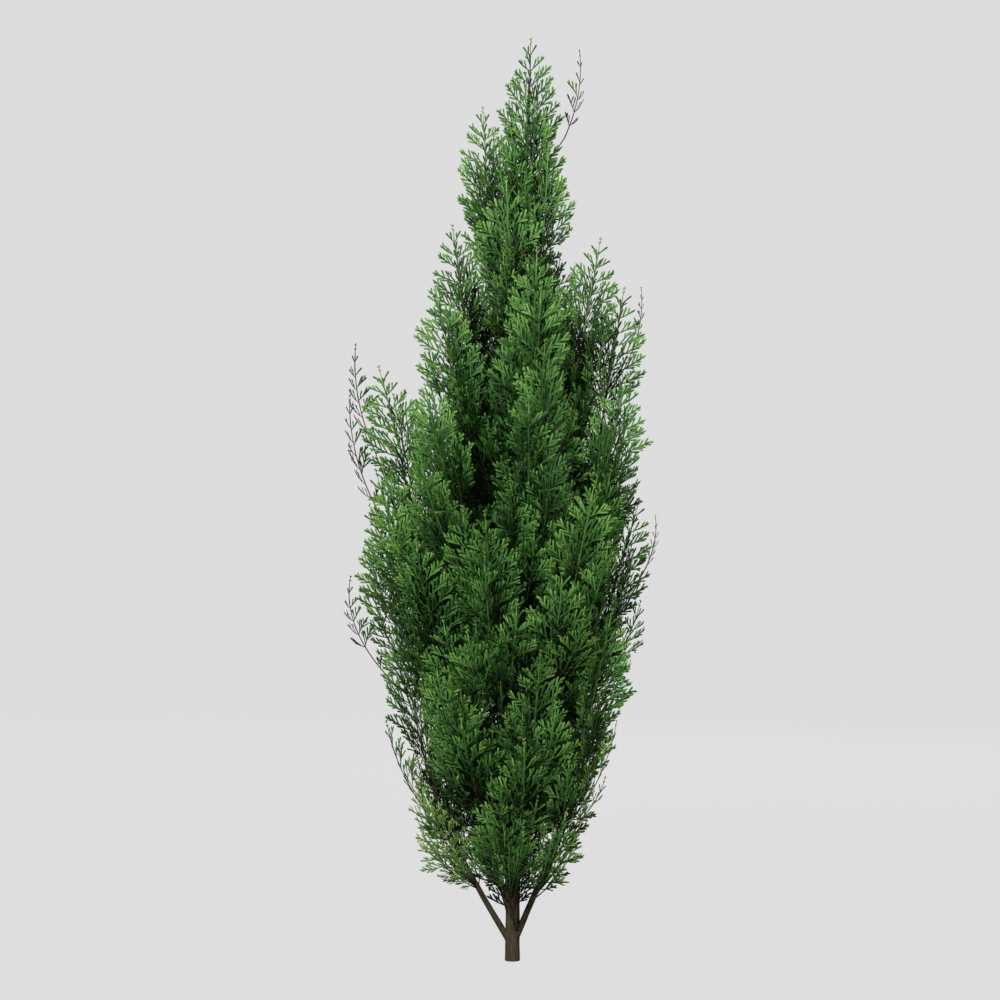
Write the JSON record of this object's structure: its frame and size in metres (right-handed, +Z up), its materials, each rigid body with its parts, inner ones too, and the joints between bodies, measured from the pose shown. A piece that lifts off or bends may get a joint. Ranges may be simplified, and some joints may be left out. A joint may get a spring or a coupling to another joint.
{
  "type": "cypress tree",
  "caption": "Young columnar cypress tree rooted in level ground, with a slim trunk, steep low boughs and rings of upright feathery foliage plumes.",
  "frame": {"origin": "centre of the flat cut under the trunk, at ground level", "axes": "+Z up along the trunk, -Y towards the front, +X to the right as seen from the front"},
  "size_m": [0.6763, 0.6411, 2],
  "materials": {
    "bark": "dull grey-brown bark with fine upright furrows",
    "foliage": "satin scale leaves in flat sprays, yellow-green at the tips and deep green inside"
  },
  "bodies": {
    "root": {"trunk": "bark", "bough_lower_1": "bark", "bough_lower_2": "bark", "bough_lower_3": "bark", "bough_lower_4": "bark", "bough_lower_5": "bark", "bough_lower_6": "bark", "bough_lower_7": "bark", "bough_middle_1": "bark", "bough_middle_2": "bark", "bough_middle_3": "bark", "bough_middle_4": "bark", "bough_middle_5": "bark", "bough_middle_6": "bark", "bough_middle_7": "bark", "foliage_crown_1": "foliage", "foliage_crown_2": "foliage", "foliage_crown_3": "foliage", "foliage_crown_4": "foliage", "foliage_crown_5": "foliage", "foliage_leader": "foliage", "foliage_lower_1": "foliage", "foliage_lower_2": "foliage", "foliage_lower_3": "foliage", "foliage_lower_4": "foliage", "foliage_lower_5": "foliage", "foliage_lower_6": "foliage", "foliage_lower_7": "foliage", "foliage_middle_1": "foliage", "foliage_middle_2": "foliage", "foliage_middle_3": "foliage", "foliage_middle_4": "foliage", "foliage_middle_5": "foliage", "foliage_middle_6": "foliage", "foliage_middle_7": "foliage", "foliage_shoulder_1": "foliage", "foliage_shoulder_2": "foliage", "foliage_shoulder_3": "foliage", "foliage_shoulder_4": "foliage", "foliage_shoulder_5": "foliage", "foliage_shoulder_6": "foliage", "foliage_skirt_1": "foliage", "foliage_skirt_2": "foliage", "foliage_skirt_3": "foliage", "foliage_skirt_4": "foliage", "foliage_skirt_5": "foliage", "foliage_upper_1": "foliage", "foliage_upper_2": "foliage", "foliage_upper_3": "foliage", "foliage_upper_4": "foliage", "foliage_upper_5": "foliage", "foliage_upper_6": "foliage", "foliage_upper_7": "foliage", "foliage_wisp_1": "foliage", "foliage_wisp_2": "foliage", "foliage_wisp_3": "foliage", "foliage_wisp_4": "foliage", "foliage_wisp_5": "foliage", "foliage_wisp_6": "foliage"}
  },
  "joints": []
}
